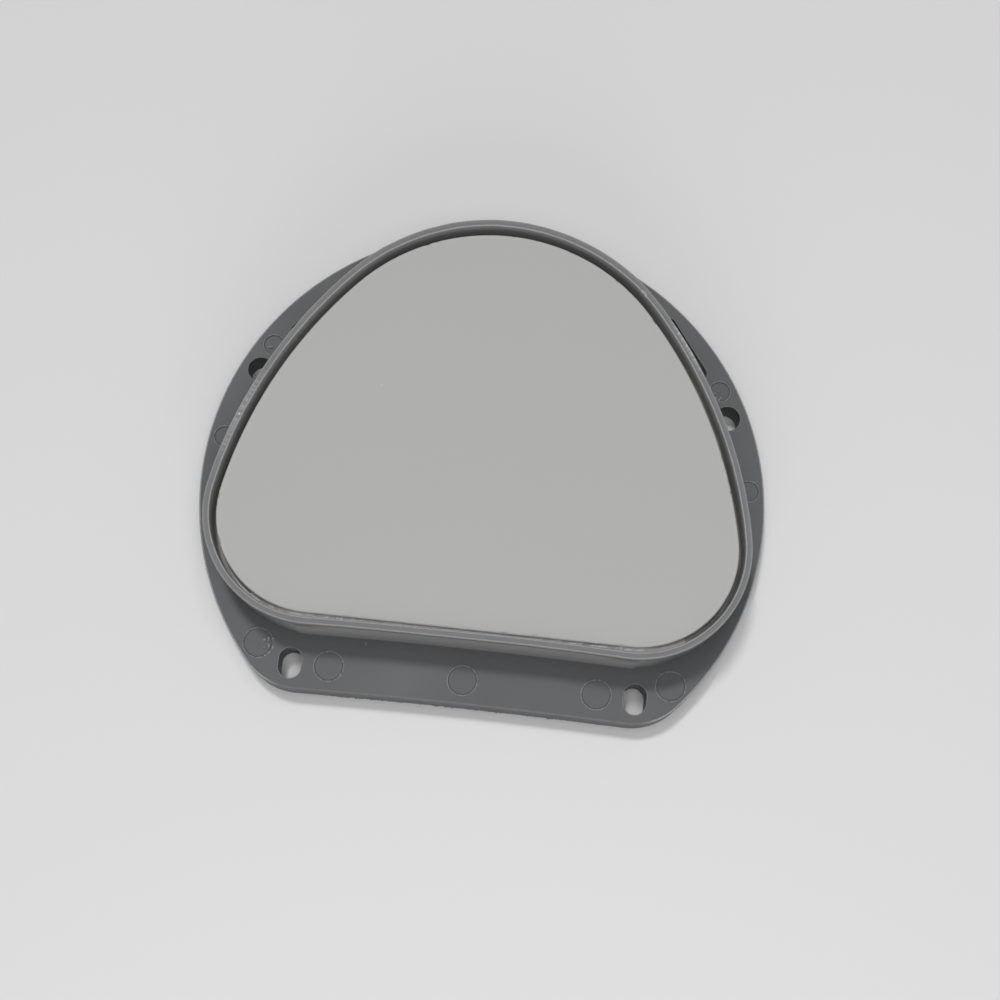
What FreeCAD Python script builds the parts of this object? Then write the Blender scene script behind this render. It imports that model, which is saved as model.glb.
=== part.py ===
"""Dental zirconia milling disc: a rounded-triangle zirconia blank bonded into a moulded plastic holder.

Millimetres. The origin is the centre of the round flange, on the underside. X runs to the right, Y towards
the rounded apex and Z up, away from the face that rests in the machine. The flat side faces -Y.
"""
import FreeCAD, Part
import math
import os
import Sketcher

# Driving dimensions: alias, value, meaning
SIZES = [
    ("blank_width", 89.0, "zirconia, across the two corners"),
    ("blank_depth", 70.2, "zirconia, flat front to apex"),
    ("blank_height", 18.0, "zirconia, face to face"),
    ("blank_corner_radius", 17.1, "rounding of the two front corners"),
    ("blank_side_radius", 79.6, "radius of the long sides"),
    ("blank_apex_radius", 34.0, "rounding of the apex"),
    ("blank_edge_chamfer", 0.25, "broken edge of both faces"),
    ("centre_to_apex", 45.0, "flange's centre to the blank's apex"),
    ("front_gap", 0.85, "blank to wall at the flat front's ends"),
    ("side_gap", 1.0, "blank to wall at the sides"),
    ("apex_gap", 1.2, "blank to wall at the apex"),
    ("wall_thickness", 0.9, "ring wall"),
    ("rim_above_blank", 1.0, "rim's top over the blank's face"),
    ("rim_overhang", 0.3, "rim beyond the wall's outer face"),
    ("rim_height", 1.7, "depth of the rim"),
    ("rim_rounding", 0.2, "rounding of the rim's two upper edges"),
    ("pad_overrun", 2.0, "flat pad on the wall's front, past the flat front's ends"),
    ("pad_setback", 0.08, "pad's face behind the rim's"),
    ("flange_thickness", 6.5, "height of the flange plate"),
    ("flange_land", 2.23, "flange beyond the wall where it is narrowest"),
    ("front_land", 9.45, "flange beyond the wall in front"),
    ("flange_corner_radius", 11.0, "rounding between front edge and round edge"),
    ("flange_edge_rounding", 0.3, "rounding of the flange's upper edge"),
    ("flange_foot_chamfer", 0.4, "chamfer of the flange's lower edge"),
    ("front_hollow_radius", 1050.0, "the front edge and the front wall are slightly hollow"),
    ("screw_hole_radius", 2.2, "round screw holes"),
    ("screw_hole_inset", 3.67, "round screw holes, in from the round edge"),
    ("screw_hole_y", 19.3, "round screw holes, behind the centre"),
    ("slot_width", 4.0, "oblong screw slots, across"),
    ("slot_travel", 1.3, "straight part of the screw slots"),
    ("slot_inset", 5.71, "oblong screw slots, in from the round edge"),
    ("slot_front_inset", 4.0, "oblong screw slots, in from the front edge"),
    ("window_angle", 36.5, "direction of the long windows from the centre, in degrees"),
    ("window_gap", 0.7, "wall to window"),
    ("window_shift", 5.5, "window's middle, along its length"),
    ("window_width", 3.2, "long windows, across"),
    ("window_length", 13.0, "long windows, end to end"),
    ("window_end_flat", 0.8, "straight part of a window's end"),
    ("pin_mark_radius", 2.45, "large ejector-pin marks"),
    ("outer_mark_inset", 3.37, "outer front marks, in from the round edge"),
    ("outer_mark_front_inset", 6.9, "outer front marks, in from the front edge"),
    ("inner_mark_offset", 6.7, "slot to inner front mark"),
    ("inner_mark_front_inset", 4.1, "inner and middle front marks, in from the front edge"),
    ("small_mark_radius", 1.75, "small ejector-pin marks"),
    ("high_mark_inset", 3.01, "small marks by the windows, in from the round edge"),
    ("high_mark_y", 24.1, "small marks by the windows, behind the centre"),
    ("low_mark_inset", 2.76, "small marks at the sides, in from the round edge"),
    ("low_mark_y", 6.4, "small marks at the sides, behind the centre"),
    ("mark_depth", 0.15, "sunk face of each mark"),
    ("flash_width", 0.25, "thin raised line around marks and slots, across"),
    ("flash_height", 0.1, "thin raised line around marks and slots, up"),
    ("adhesive_base", 0.6, "underside to the bottom of the bond"),
    ("adhesive_below_face", 1.5, "blank's upper face to the top of the bond"),
]

# Sizes that follow from them: alias, formula, meaning
FOLLOWING = [
    ("blank_front", "blank_depth - centre_to_apex", "centre to the blank's flat front"),
    ("corner_x", "blank_width / 2 - blank_corner_radius", "middle of a blank corner, across"),
    ("corner_y", "blank_corner_radius - blank_front", "middle of a blank corner, behind the centre"),
    ("apex_y", "centre_to_apex - blank_apex_radius", "middle of the apex rounding"),
    ("span", "sqrt(corner_x ^ 2 + (apex_y - corner_y) ^ 2)", "corner's middle to apex's middle"),
    ("near_radius", "blank_side_radius - blank_corner_radius", "side's middle to corner's middle"),
    ("far_radius", "blank_side_radius - blank_apex_radius", "side's middle to apex's middle"),
    ("side_along", "(span ^ 2 + near_radius ^ 2 - far_radius ^ 2) / (2 * span)",
     "side's middle, along the span"),
    ("side_across", "sqrt(near_radius ^ 2 - side_along ^ 2)", "side's middle, off the span"),
    ("side_x", "corner_x - (side_along * corner_x + side_across * (apex_y - corner_y)) / span",
     "middle of a side's curve, across"),
    ("side_y", "corner_y + (side_along * (apex_y - corner_y) - side_across * corner_x) / span",
     "middle of a side's curve, behind the centre"),
    ("corner_reach", "sqrt(corner_x ^ 2 + corner_y ^ 2) + blank_corner_radius + side_gap",
     "centre to the wall's inner face at the corners"),
    ("flange_radius", "max(corner_reach; centre_to_apex + apex_gap) + wall_thickness + flange_land",
     "round edge of the flange"),
    ("flange_front", "blank_front + front_gap + wall_thickness + front_land",
     "centre to the middle of the front edge"),
    ("wall_height", "blank_height + rim_above_blank - flange_thickness", "wall with rim, above the flange"),
    ("rim_width", "wall_thickness + rim_overhang", "rim, from the wall's inner face"),
    ("pad_length", "2 * (corner_x + pad_overrun)", "flat pad, end to end"),
    ("pad_thickness", "rim_width - pad_setback", "pad, from the wall's inner face"),
    ("adhesive_height", "blank_height - adhesive_below_face - adhesive_base", "height of the bond"),
    ("screw_hole_x", "sqrt((flange_radius - screw_hole_inset) ^ 2 - screw_hole_y ^ 2)",
     "round screw holes, from the middle"),
    ("slot_y", "flange_front - slot_front_inset", "screw slots, in front of the centre"),
    ("slot_x", "sqrt((flange_radius - slot_inset) ^ 2 - slot_y ^ 2)", "screw slots, from the middle"),
    ("window_distance", "side_x * cos(window_angle) + side_y * sin(window_angle) + blank_side_radius"
     " + side_gap + wall_thickness + window_gap + window_width / 2", "centre to a window's middle line"),
    ("window_rounding", "(window_width - window_end_flat) / 2", "corners of the long windows"),
    ("outer_mark_y", "flange_front - outer_mark_front_inset", "outer front marks, in front of the centre"),
    ("outer_mark_x", "sqrt((flange_radius - outer_mark_inset) ^ 2 - outer_mark_y ^ 2)",
     "outer front marks, from the middle"),
    ("inner_mark_y", "flange_front - inner_mark_front_inset", "inner and middle front marks, in front"),
    ("inner_mark_x", "slot_x - inner_mark_offset", "inner front marks, from the middle"),
    ("high_mark_x", "sqrt((flange_radius - high_mark_inset) ^ 2 - high_mark_y ^ 2)",
     "small marks by the windows, from the middle"),
    ("low_mark_x", "sqrt((flange_radius - low_mark_inset) ^ 2 - low_mark_y ^ 2)",
     "small marks at the sides, from the middle"),
]
Z_UP = FreeCAD.Vector(0, 0, 1)
SAME = 1e-4  # lengths closer than this are the same
START, END, CENTRE = range(1, 4)  # a curve's points, as Sketcher numbers them
ORIGIN = (-1, 1)
Y_AXIS = -2

doc = FreeCAD.newDocument("milling_disc")
sheet = doc.addObject("Spreadsheet::Sheet", "Sizes")
cells = [(name, str(value), meaning) for name, value, meaning in SIZES]
cells += [(name, f"={formula}", meaning) for name, formula, meaning in FOLLOWING]
for row, (name, content, meaning) in enumerate(cells, start=1):
    sheet.set(f"A{row}", meaning)
    sheet.set(f"B{row}", content)
    sheet.setAlias(f"B{row}", name)
doc.recompute()
VALUE = {name: float(sheet.get(name)) for name, content, meaning in cells}


# Sketches and features

def from_sheet(formula):
    """A formula over size names, as an expression over the sheet's cells."""
    words = formula.replace("(", " ( ").replace(")", " ) ").split()
    return " ".join(f"Sizes.{word}" if word in VALUE else word for word in words)


def plane_of(body, role):
    return next(part for part in body.Origin.OriginFeatures if part.Role == role)


def new_body(label):
    body = doc.addObject("PartDesign::Body", label)
    body.Label = label
    return body


def new_sketch(body, name, level="0", turn=None):
    """A level sketch at a height above the underside, turned about the centre if asked."""
    sketch = body.newObject("Sketcher::SketchObject", name)
    sketch.AttachmentSupport = [(plane_of(body, "XY_Plane"), "")]
    sketch.MapMode = "FlatFace"
    sketch.setExpression("AttachmentOffset.Base.z", from_sheet(level))
    if turn:
        sketch.AttachmentOffset = FreeCAD.Placement(FreeCAD.Vector(), FreeCAD.Rotation(Z_UP, VALUE[turn]))
        sketch.setExpression("AttachmentOffset.Rotation.Angle", from_sheet(turn))
    return sketch


def bind(sketch, kind, *where, formula, start):
    """A dimension whose value comes from the sheet; start is its first guess."""
    index = sketch.addConstraint(Sketcher.Constraint(kind, *where, start))
    sketch.setExpression(f"Constraints[{index}]", from_sheet(formula))


def join(sketch, *pairs):
    """Tangent joints, each an end of one curve on an end of another."""
    for first, second in pairs:
        sketch.addConstraint(Sketcher.Constraint("Tangent", *first, *second))


def arc(centre, radius, first, last):
    """A counter-clockwise arc between two angles in radians."""
    return Part.ArcOfCircle(Part.Circle(FreeCAD.Vector(*centre, 0), Z_UP, radius), first, last)


def triangle_outline(sketch, extra="0", front_extra="0", apex_extra="0", hollow=False):
    """The blank's outline, grown by extra at the sides, front_extra in front and apex_extra at the apex.

    Two corner arcs, two long side arcs and an apex arc run tangent into each other. The front is a
    straight line, or a very flat hollow arc.
    """
    corner, side, apex = (VALUE[f"blank_{name}_radius"] for name in ("corner", "side", "apex"))
    corner_x, corner_y, apex_y = VALUE["corner_x"], VALUE["corner_y"], VALUE["apex_y"]
    side_x, side_y = VALUE["side_x"], VALUE["side_y"]
    low = math.atan2(corner_y - side_y, corner_x - side_x)
    high = math.atan2(apex_y - side_y, -side_x)
    half_turn, quarter = math.pi, math.pi / 2
    tilt = math.asin(corner_x / (VALUE["front_hollow_radius"] + corner)) if hollow else 0.0
    base = sketch.GeometryCount
    front, right, right_side, top, left_side, left = range(base, base + 6)
    if hollow:
        radius = VALUE["front_hollow_radius"]
        drop = (radius + corner) * math.cos(tilt)
        sketch.addGeometry(arc((0, corner_y - drop), radius, quarter - tilt, quarter + tilt))
    else:
        ends = [FreeCAD.Vector(x, corner_y - corner, 0) for x in (corner_x, -corner_x)]
        sketch.addGeometry(Part.LineSegment(*ends))
    sketch.addGeometry(arc((corner_x, corner_y), corner, -quarter - tilt, low))
    sketch.addGeometry(arc((side_x, side_y), side, low, high))
    sketch.addGeometry(arc((0, apex_y), apex, high, half_turn - high))
    sketch.addGeometry(arc((-side_x, side_y), side, half_turn - high, half_turn - low))
    sketch.addGeometry(arc((-corner_x, corner_y), corner, half_turn - low, 3 * quarter + tilt))
    join(sketch, ((front, START), (right, START)), ((right, END), (right_side, START)),
         ((right_side, END), (top, START)), ((top, END), (left_side, START)),
         ((left_side, END), (left, START)), ((left, END), (front, END)))
    sketch.addConstraint([
        Sketcher.Constraint("Equal", right, left),
        Sketcher.Constraint("Equal", right_side, left_side),
        Sketcher.Constraint("Symmetric", right, CENTRE, left, CENTRE, Y_AXIS),
        Sketcher.Constraint("PointOnObject", top, CENTRE, Y_AXIS),
    ])
    bind(sketch, "Radius", right, formula=f"blank_corner_radius + ({extra})", start=corner)
    bind(sketch, "Radius", right_side, formula=f"blank_side_radius + ({extra})", start=side)
    bind(sketch, "Radius", top, formula=f"blank_apex_radius + ({extra})", start=apex)
    bind(sketch, "DistanceX", left, CENTRE, right, CENTRE, formula="2 * corner_x", start=2 * corner_x)
    bind(sketch, "DistanceY", *ORIGIN, right, CENTRE,
         formula=f"corner_y - ({front_extra}) + ({extra})", start=corner_y)
    bind(sketch, "DistanceY", *ORIGIN, top, CENTRE,
         formula=f"apex_y + ({apex_extra}) - ({extra})", start=apex_y)
    if hollow:
        bind(sketch, "Radius", front, formula=f"front_hollow_radius - ({extra})",
             start=VALUE["front_hollow_radius"])


def wall_outline(sketch, thickness="0"):
    """The wall's inner outline, or the line a thickness outside it."""
    triangle_outline(sketch, f"side_gap + {thickness}", f"front_gap + {thickness}",
                     f"apex_gap + {thickness}", hollow=True)


def flange_outline(sketch):
    """A circle with a flat, slightly hollow front edge and rounded corners."""
    radius, corner = VALUE["flange_radius"], VALUE["flange_corner_radius"]
    hollow, front = VALUE["front_hollow_radius"], VALUE["flange_front"]
    hollow_y = -front - hollow
    # the corner's centre lies radius - corner from the middle and hollow + corner from the hollow's centre
    near, far = radius - corner, hollow + corner
    corner_y = (near ** 2 - far ** 2 + hollow_y ** 2) / (2 * hollow_y)
    corner_x = math.sqrt(near ** 2 - corner_y ** 2)
    out = math.atan2(corner_y, corner_x)
    down = math.atan2(hollow_y - corner_y, -corner_x)
    lean = math.atan2(corner_y - hollow_y, corner_x)
    base = sketch.GeometryCount
    rim, left, edge, right = range(base, base + 4)
    sketch.addGeometry(arc((0, 0), radius, out, math.pi - out))
    sketch.addGeometry(arc((-corner_x, corner_y), corner, math.pi - out, math.pi - down))
    sketch.addGeometry(arc((0, hollow_y), hollow, lean, math.pi - lean))
    sketch.addGeometry(arc((corner_x, corner_y), corner, down, out))
    join(sketch, ((rim, END), (left, START)), ((left, END), (edge, END)),
         ((edge, START), (right, START)), ((right, END), (rim, START)))
    sketch.addConstraint([
        Sketcher.Constraint("Coincident", rim, CENTRE, *ORIGIN),
        Sketcher.Constraint("Equal", left, right),
        Sketcher.Constraint("PointOnObject", edge, CENTRE, Y_AXIS),
    ])
    bind(sketch, "Radius", rim, formula="flange_radius", start=radius)
    bind(sketch, "Radius", left, formula="flange_corner_radius", start=corner)
    bind(sketch, "Radius", edge, formula="front_hollow_radius", start=hollow)
    bind(sketch, "DistanceY", edge, CENTRE, *ORIGIN,
         formula="flange_front + front_hollow_radius", start=-hollow_y)


def circle(sketch, radius, x, y, behind=True):
    """A round outline; x and y are distances from the centre, y behind or in front of it."""
    start_y = VALUE[y] if behind else -VALUE[y]
    index = sketch.addGeometry(
        Part.Circle(FreeCAD.Vector(VALUE.get(x, 0), start_y, 0), Z_UP, VALUE[radius.split()[0]]))
    bind(sketch, "Radius", index, formula=radius, start=VALUE[radius.split()[0]])
    if x:
        bind(sketch, "DistanceX", *ORIGIN, index, CENTRE, formula=x, start=VALUE[x])
    else:
        sketch.addConstraint(Sketcher.Constraint("PointOnObject", index, CENTRE, Y_AXIS))
    pair = (*ORIGIN, index, CENTRE) if behind else (index, CENTRE, *ORIGIN)
    bind(sketch, "DistanceY", *pair, formula=y, start=VALUE[y])


def slot_outline(sketch, extra="0"):
    """An oblong along Y: two straight sides and two half circles, grown by extra."""
    radius, x, y = VALUE["slot_width"] / 2, VALUE["slot_x"], -VALUE["slot_y"]
    reach = VALUE["slot_travel"] / 2
    base = sketch.GeometryCount
    back, left, front, right = range(base, base + 4)
    sketch.addGeometry(arc((x, y + reach), radius, 0, math.pi))
    sketch.addGeometry(Part.LineSegment(FreeCAD.Vector(x - radius, y + reach, 0),
                                        FreeCAD.Vector(x - radius, y - reach, 0)))
    sketch.addGeometry(arc((x, y - reach), radius, math.pi, 2 * math.pi))
    sketch.addGeometry(Part.LineSegment(FreeCAD.Vector(x + radius, y - reach, 0),
                                        FreeCAD.Vector(x + radius, y + reach, 0)))
    join(sketch, ((back, END), (left, START)), ((left, END), (front, START)),
         ((front, END), (right, START)), ((right, END), (back, START)))
    sketch.addConstraint(Sketcher.Constraint("Vertical", left))
    bind(sketch, "Radius", back, formula=f"slot_width / 2 + ({extra})", start=radius)
    bind(sketch, "DistanceX", *ORIGIN, back, CENTRE, formula="slot_x", start=x)
    bind(sketch, "DistanceY", back, CENTRE, *ORIGIN, formula="slot_y - slot_travel / 2", start=-y - reach)
    bind(sketch, "DistanceY", front, CENTRE, back, CENTRE, formula="slot_travel", start=2 * reach)


def window_outline(sketch):
    """A rounded rectangle beyond the wall, in a frame turned towards the window."""
    half, reach, corner = VALUE["window_width"] / 2, VALUE["window_length"] / 2, VALUE["window_rounding"]
    middle_x, middle_y = VALUE["window_distance"], VALUE["window_shift"]
    inner_x, outer_x = middle_x - half + corner, middle_x + half - corner
    low_y, high_y = middle_y - reach + corner, middle_y + reach - corner
    quarter = math.pi / 2
    corners = [(outer_x, high_y), (inner_x, high_y), (inner_x, low_y), (outer_x, low_y)]
    for number, centre in enumerate(corners):
        sketch.addGeometry(arc(centre, corner, number * quarter, (number + 1) * quarter))
    for number, (x, y) in enumerate(corners):
        next_x, next_y = corners[(number + 1) % 4]
        turn = (number + 1) * quarter
        out = FreeCAD.Vector(corner * math.cos(turn), corner * math.sin(turn), 0)
        ends = [FreeCAD.Vector(*point, 0) + out for point in ((x, y), (next_x, next_y))]
        sketch.addGeometry(Part.LineSegment(*ends))
    for number in range(4):
        join(sketch, ((number, END), (4 + number, START)), ((4 + number, END), ((number + 1) % 4, START)))
        if number:
            sketch.addConstraint(Sketcher.Constraint("Equal", 0, number))
    sketch.addConstraint([Sketcher.Constraint("Horizontal", 4), Sketcher.Constraint("Vertical", 5)])
    bind(sketch, "Radius", 0, formula="window_rounding", start=corner)
    bind(sketch, "DistanceX", *ORIGIN, 0, CENTRE,
         formula="window_distance + window_width / 2 - window_rounding", start=outer_x)
    bind(sketch, "DistanceY", *ORIGIN, 0, CENTRE,
         formula="window_shift + window_length / 2 - window_rounding", start=high_y)
    bind(sketch, "DistanceX", 1, CENTRE, 0, CENTRE, formula="window_end_flat", start=outer_x - inner_x)
    bind(sketch, "DistanceY", 3, CENTRE, 0, CENTRE,
         formula="window_length - 2 * window_rounding", start=high_y - low_y)


def pad(body, name, sketch, length):
    feature = body.newObject("PartDesign::Pad", name)
    feature.Profile = sketch
    feature.setExpression("Length", from_sheet(length))
    doc.recompute()
    return feature


def pocket(body, name, sketch, depth=None):
    """A pocket downwards from its sketch, right through when no depth is given."""
    before = body.Shape.Volume
    feature = body.newObject("PartDesign::Pocket", name)
    feature.Profile = sketch
    if depth:
        feature.setExpression("Length", from_sheet(depth))
    else:
        feature.Type = "ThroughAll"
    doc.recompute()
    if body.Shape.Volume >= before:
        raise RuntimeError(f"{name} cuts nothing")
    return feature


def edges_at(shape, level, wanted=lambda edge: True):
    """Names of the edges that lie flat at a height and pass a test."""
    return [f"Edge{number}" for number, edge in enumerate(shape.Edges, start=1)
            if max(abs(edge.BoundBox.ZMin - level), abs(edge.BoundBox.ZMax - level)) < SAME and wanted(edge)]


def dress(body, kind, name, edges, size):
    """A fillet or chamfer on edges of the body's last feature."""
    if not edges:
        raise RuntimeError(f"{name} finds no edges")
    base = body.Tip
    feature = body.newObject(f"PartDesign::{kind}", name)
    feature.Base = (base, edges)
    feature.setExpression("Radius" if kind == "Fillet" else "Size", from_sheet(size))
    doc.recompute()
    return feature


# Holder: one plastic moulding

def make_holder():
    body = new_body("holder")
    top = "flange_thickness"
    wall_shaft = "wall_height - rim_height"

    plate = new_sketch(body, "plate_sketch")
    flange_outline(plate)
    wall_outline(plate)
    pad(body, "plate", plate, "flange_thickness")

    shaft = new_sketch(body, "wall_sketch", top)
    wall_outline(shaft, "wall_thickness")
    wall_outline(shaft)
    pad(body, "wall", shaft, wall_shaft)

    rim = new_sketch(body, "rim_sketch", f"{top} + {wall_shaft}")
    wall_outline(rim, "rim_width")
    wall_outline(rim)
    pad(body, "rim", rim, "rim_height")

    front_pad(body, top, wall_shaft)
    mirrored = []

    holes = new_sketch(body, "screw_hole_sketch", top)
    circle(holes, "screw_hole_radius", "screw_hole_x", "screw_hole_y")
    mirrored.append(pocket(body, "screw_hole", holes))

    flash = new_sketch(body, "flash_sketch", top)
    slot_outline(flash, "flash_width")
    slot_outline(flash)
    mark_circles(flash, " + flash_width")
    mark_circles(flash)
    mirrored.append(pad(body, "flash", flash, "flash_height"))

    slots = new_sketch(body, "slot_sketch", f"{top} + flash_height")
    slot_outline(slots)
    mirrored.append(pocket(body, "slot", slots))

    windows = new_sketch(body, "window_sketch", top, turn="window_angle")
    window_outline(windows)
    mirrored.append(pocket(body, "window", windows))

    marks = new_sketch(body, "pin_mark_sketch", top)
    mark_circles(marks)
    mirrored.append(pocket(body, "pin_mark", marks, "mark_depth"))

    twin = body.newObject("PartDesign::Mirrored", "other_side")
    twin.Originals = mirrored
    twin.MirrorPlane = (plane_of(body, "YZ_Plane"), [""])
    body.Tip = twin
    doc.recompute()

    middle_flash = new_sketch(body, "middle_flash_sketch", top)
    circle(middle_flash, "pin_mark_radius + flash_width", None, "inner_mark_y", behind=False)
    circle(middle_flash, "pin_mark_radius", None, "inner_mark_y", behind=False)
    pad(body, "middle_flash", middle_flash, "flash_height")
    middle = new_sketch(body, "middle_mark_sketch", top)
    circle(middle, "pin_mark_radius", None, "inner_mark_y", behind=False)
    pocket(body, "middle_mark", middle, "mark_depth")

    rim_level = VALUE["flange_thickness"] + VALUE["wall_height"]
    dress(body, "Fillet", "rim_rounding", edges_at(body.Shape, rim_level), "rim_rounding")
    dress(body, "Fillet", "flange_edge",
          edges_at(body.Shape, VALUE["flange_thickness"], on_flange_edge), "flange_edge_rounding")
    dress(body, "Chamfer", "flange_foot", edges_at(body.Shape, 0.0, on_flange_edge), "flange_foot_chamfer")
    return body


def mark_circles(sketch, extra=""):
    """The four ejector-pin marks of the right half."""
    large, small = f"pin_mark_radius{extra}", f"small_mark_radius{extra}"
    circle(sketch, large, "outer_mark_x", "outer_mark_y", behind=False)
    circle(sketch, large, "inner_mark_x", "inner_mark_y", behind=False)
    circle(sketch, small, "high_mark_x", "high_mark_y")
    circle(sketch, small, "low_mark_x", "low_mark_y")


def front_pad(body, level, height):
    """A flat pad on the front of the wall, up to the rim; its back edge lies inside the wall."""
    sketch = new_sketch(body, "pad_sketch", level)
    half, hollow = VALUE["pad_length"] / 2, VALUE["front_hollow_radius"]
    inner = VALUE["blank_front"] + VALUE["front_gap"]
    face = -inner - VALUE["pad_thickness"]
    sag = hollow - math.sqrt(hollow ** 2 - half ** 2)
    lean = math.acos(half / hollow)
    back = -inner - VALUE["wall_thickness"] / 4
    places = (half, face), (half, back), (-half, back), (-half, face)
    corners = [FreeCAD.Vector(x, y, 0) for x, y in places]
    sketch.addGeometry(arc((0, face + sag - hollow), hollow, lean, math.pi - lean))
    for first, second in zip(corners, corners[1:]):
        sketch.addGeometry(Part.LineSegment(first, second))
    front, right, rear, left = range(4)
    sketch.addConstraint([
        Sketcher.Constraint("Coincident", front, START, right, START),
        Sketcher.Constraint("Coincident", right, END, rear, START),
        Sketcher.Constraint("Coincident", rear, END, left, START),
        Sketcher.Constraint("Coincident", left, END, front, END),
        Sketcher.Constraint("Vertical", right),
        Sketcher.Constraint("Vertical", left),
        Sketcher.Constraint("Symmetric", front, START, front, END, Y_AXIS),
        Sketcher.Constraint("Horizontal", rear),
    ])
    bind(sketch, "Radius", front, formula="front_hollow_radius - pad_thickness", start=hollow)
    bind(sketch, "DistanceX", front, END, front, START, formula="pad_length", start=2 * half)
    bind(sketch, "DistanceY", front, START, *ORIGIN,
         formula="blank_front + front_gap + pad_thickness", start=-face)
    bind(sketch, "DistanceY", rear, START, *ORIGIN,
         formula="blank_front + front_gap + wall_thickness / 4", start=-back)
    pad(body, "front_pad", sketch, height)


def on_flange_edge(edge):
    """True on the flange's outer outline: its round edge, corner roundings and hollow front edge."""
    radii = (VALUE["flange_radius"], VALUE["flange_corner_radius"], VALUE["front_hollow_radius"])
    if not isinstance(edge.Curve, Part.Circle):
        return False
    return any(abs(edge.Curve.Radius - radius) < SAME for radius in radii)


# Blank: one zirconia block, open on both faces

def make_blank():
    body = new_body("blank")
    outline = new_sketch(body, "blank_sketch")
    triangle_outline(outline)
    pad(body, "block", outline, "blank_height")
    faces = edges_at(body.Shape, VALUE["blank_height"]) + edges_at(body.Shape, 0.0)
    dress(body, "Chamfer", "broken_edges", faces, "blank_edge_chamfer")
    return body


# Adhesive: the bond that fills the lower part of the gap

def make_adhesive():
    body = new_body("adhesive")
    outline = new_sketch(body, "adhesive_sketch", "adhesive_base")
    wall_outline(outline)
    triangle_outline(outline)
    pad(body, "bond", outline, "adhesive_height")
    return body


def check_document():
    """Stops on any failed feature or bad shape."""
    for item in doc.Objects:
        if "Invalid" in item.State or "Error" in item.State:
            raise RuntimeError(f"{item.Name} failed: {item.State}")
    for body in doc.findObjects("PartDesign::Body"):
        if body.Shape.isNull() or not body.Shape.isValid() or len(body.Shape.Solids) != 1:
            raise RuntimeError(f"{body.Label} has a bad shape")


bodies = [make_holder(), make_blank(), make_adhesive()]
doc.recompute()
check_document()
os.makedirs("parts", exist_ok=True)
for body in bodies:
    body.Shape.exportStep(f"parts/{body.Label}.step")
    box = body.Shape.optimalBoundingBox()
    print(f"{body.Label}: {body.Shape.Volume:.1f} mm3, x {box.XMin:.2f} to {box.XMax:.2f}, "
          f"y {box.YMin:.2f} to {box.YMax:.2f}, z {box.ZMin:.2f} to {box.ZMax:.2f}")
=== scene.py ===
import math

import bmesh
import bpy
import numpy as np
from bpy.props import FloatProperty, FloatVectorProperty, IntProperty, PointerProperty
from mathutils import Matrix, Vector
from mathutils.geometry import delaunay_2d_cdt


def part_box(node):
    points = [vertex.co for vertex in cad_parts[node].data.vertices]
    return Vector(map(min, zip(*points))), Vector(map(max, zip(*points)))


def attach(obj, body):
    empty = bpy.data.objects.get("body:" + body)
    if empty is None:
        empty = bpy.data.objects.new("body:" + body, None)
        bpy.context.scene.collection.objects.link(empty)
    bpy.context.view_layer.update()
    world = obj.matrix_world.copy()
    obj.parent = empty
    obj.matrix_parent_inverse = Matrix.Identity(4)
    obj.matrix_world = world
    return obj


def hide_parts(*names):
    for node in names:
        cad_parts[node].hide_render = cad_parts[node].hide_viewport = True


bl_info = {
    "name": "Zirconia milling disc",
    "version": (1, 0, 0),
    "blender": (4, 5, 0),
    "location": "View3D > Sidebar > Milling disc",
    "description": "Builds a pressed zirconia block bonded into its moulded plastic holder",
    "category": "Add Mesh",
}

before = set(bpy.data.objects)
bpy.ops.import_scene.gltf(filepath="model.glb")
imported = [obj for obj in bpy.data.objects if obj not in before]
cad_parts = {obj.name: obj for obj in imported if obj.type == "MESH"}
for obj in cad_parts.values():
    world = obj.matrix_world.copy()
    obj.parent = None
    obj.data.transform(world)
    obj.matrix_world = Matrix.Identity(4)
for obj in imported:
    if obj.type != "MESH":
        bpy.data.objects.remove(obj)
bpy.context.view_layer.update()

MM = 0.001
HALF_TURN = math.pi
QUARTER = math.pi / 2
HOLDER_LOW, HOLDER_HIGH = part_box("holder")
BLANK_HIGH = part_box("blank")[1]
BOND_LOW, BOND_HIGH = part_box("adhesive")
WELD = 2e-7  # metres between two points that are one
SHARP = math.radians(50)  # an edge that turns more than this is shaded sharp
MASKS = ("wear", "pale", "polish")  # point values that the finishes read
WHITE = (1.0, 1.0, 1.0, 1.0)

# points along each stretch of the wall's outline: front, corner, side, apex
ALONG = (260, 130, 200, 320)
# points along each stretch of the flange's outline: round edge, corner, front
FLANGE_ALONG = (640, 60, 220)


def metres(value, name, text):
    """A length setting: given in millimetres, kept in metres and shown in the scene's unit."""
    return FloatProperty(name=name, description=text, default=value * MM, unit="LENGTH",
                         subtype="DISTANCE", precision=5, step=0.1)


def colour(value, name, text):
    """A colour setting, in linear red, green and blue."""
    return FloatVectorProperty(name=name, description=text, default=value, subtype="COLOR",
                               size=3, min=0.0, max=1.0)


def light_share(value, name, giver):
    """A setting for one source's share of the light; shares that add up to 1 make a white face white."""
    return FloatProperty(name=name, description=f"Share of the light that {giver}", default=value,
                         subtype="FACTOR", min=0.0, soft_max=1.0)


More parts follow.
